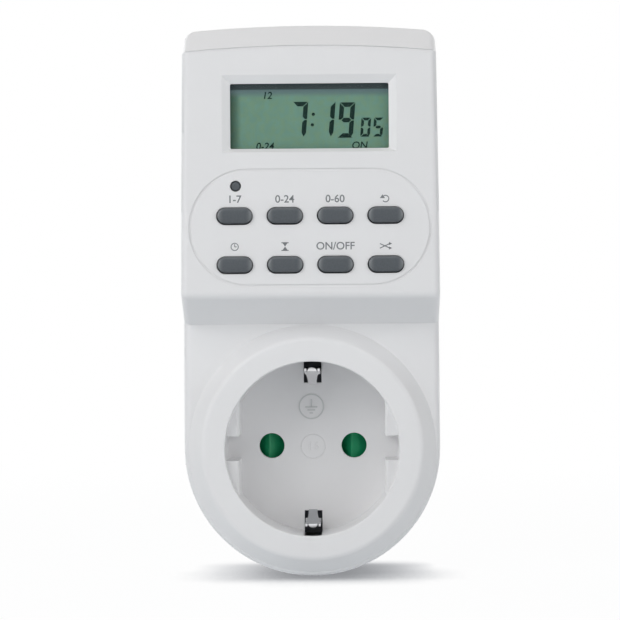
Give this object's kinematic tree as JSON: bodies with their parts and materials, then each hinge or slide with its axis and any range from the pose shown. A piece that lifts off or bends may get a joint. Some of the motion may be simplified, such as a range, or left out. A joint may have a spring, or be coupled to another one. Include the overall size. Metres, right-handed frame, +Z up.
{
  "type": "digital timer",
  "caption": "Plug-in digital week timer: stepped white housing with a recessed display, oval push keys, an earthed socket with a shutter on the front and a round plug on the back.",
  "frame": {"origin": "on the plug's engagement face, midway between the axes of its two pins", "axes": "+X right seen from the front, +Y into the wall along the pins, +Z up"},
  "size_m": [0.058, 0.0824, 0.1241],
  "materials": {
    "housing": "fine satin",
    "keys": "satin",
    "lens": "clear, polished",
    "lcd_glass": "glossy",
    "inner_white": "plain",
    "contact_rubber": "matt",
    "silicone": "matt",
    "board": "satin",
    "chip": "matt",
    "tin": "satin",
    "steel": "satin",
    "relay_case": "satin",
    "film_case": "satin",
    "can": "sleeved",
    "disc_coat": "satin",
    "resistor_coat": "satin",
    "cable": "matt",
    "pins": "nickel plated",
    "contact_brass": "plain",
    "earth_metal": "nickel plated",
    "carrier": "matt",
    "shutter": "satin"
  },
  "bodies": {
    "housing": {"backup_battery": "steel", "battery_tabs": "tin", "board_screws": "steel", "clock_crystal": "tin", "contact_carrier": "carrier", "controller_chip": "chip", "display_lens": "lens", "earth_clip": "earth_metal", "earth_rivet": "earth_metal", "film_capacitor": "film_case", "front_cover": "housing", "housing_screws": "steel", "keypad_mat": "silicone", "lcd_frame": "inner_white", "lcd_glass": "lcd_glass", "link_cable": "cable", "link_sockets": "inner_white", "live_contact": "contact_brass", "live_pin": "pins", "live_strip": "contact_brass", "logic_board": "board", "neutral_contact": "contact_brass", "neutral_pin": "pins", "neutral_strip": "contact_brass", "plug_earth_strap": "earth_metal", "power_board": "board", "power_board_screws": "steel", "rear_cover": "housing", "rectifier_diodes": "chip", "relay": "relay_case", "series_resistor": "resistor_coat", "shutter_spring": "steel", "smoothing_capacitor": "can", "switched_strip": "contact_brass", "varistor": "disc_coat", "zebra_strips": "contact_rubber"},
    "shutter": {"shutter": "shutter"},
    "week_key": {"week_key": "keys"},
    "hour_key": {"hour_key": "keys"},
    "minute_key": {"minute_key": "keys"},
    "recall_key": {"recall_key": "keys"},
    "clock_key": {"clock_key": "keys"},
    "timer_key": {"timer_key": "keys"},
    "mode_key": {"mode_key": "keys"},
    "random_key": {"random_key": "keys"},
    "reset_key": {"reset_key": "keys"}
  },
  "joints": [
    {"name": "week_key_press", "type": "slide", "parent": "housing", "child": "week_key", "axis": [0, 1, 0], "range_m": [0, 0.0008], "stiffness_N_per_m": 300, "springref_m": -0.001, "deforming": ["keypad_mat"]},
    {"name": "hour_key_press", "type": "slide", "parent": "housing", "child": "hour_key", "axis": [0, 1, 0], "range_m": [0, 0.0008], "stiffness_N_per_m": 300, "springref_m": -0.001, "deforming": ["keypad_mat"]},
    {"name": "minute_key_press", "type": "slide", "parent": "housing", "child": "minute_key", "axis": [0, 1, 0], "range_m": [0, 0.0008], "stiffness_N_per_m": 300, "springref_m": -0.001, "deforming": ["keypad_mat"]},
    {"name": "recall_key_press", "type": "slide", "parent": "housing", "child": "recall_key", "axis": [0, 1, 0], "range_m": [0, 0.0008], "stiffness_N_per_m": 300, "springref_m": -0.001, "deforming": ["keypad_mat"]},
    {"name": "clock_key_press", "type": "slide", "parent": "housing", "child": "clock_key", "axis": [0, 1, 0], "range_m": [0, 0.0008], "stiffness_N_per_m": 300, "springref_m": -0.001, "deforming": ["keypad_mat"]},
    {"name": "timer_key_press", "type": "slide", "parent": "housing", "child": "timer_key", "axis": [0, 1, 0], "range_m": [0, 0.0008], "stiffness_N_per_m": 300, "springref_m": -0.001, "deforming": ["keypad_mat"]},
    {"name": "mode_key_press", "type": "slide", "parent": "housing", "child": "mode_key", "axis": [0, 1, 0], "range_m": [0, 0.0008], "stiffness_N_per_m": 300, "springref_m": -0.001, "deforming": ["keypad_mat"]},
    {"name": "random_key_press", "type": "slide", "parent": "housing", "child": "random_key", "axis": [0, 1, 0], "range_m": [0, 0.0008], "stiffness_N_per_m": 300, "springref_m": -0.001, "deforming": ["keypad_mat"]},
    {"name": "reset_key_press", "type": "slide", "parent": "housing", "child": "reset_key", "axis": [0, 1, 0], "range_m": [0, 0.0008], "stiffness_N_per_m": 300, "springref_m": -0.001, "deforming": ["keypad_mat"]},
    {"name": "shutter_slide", "type": "slide", "parent": "housing", "child": "shutter", "axis": [-1, 0, 0], "range_m": [0, 0.0062], "stiffness_N_per_m": 40, "springref_m": -0.004, "deforming": ["shutter_spring"]}
  ]
}
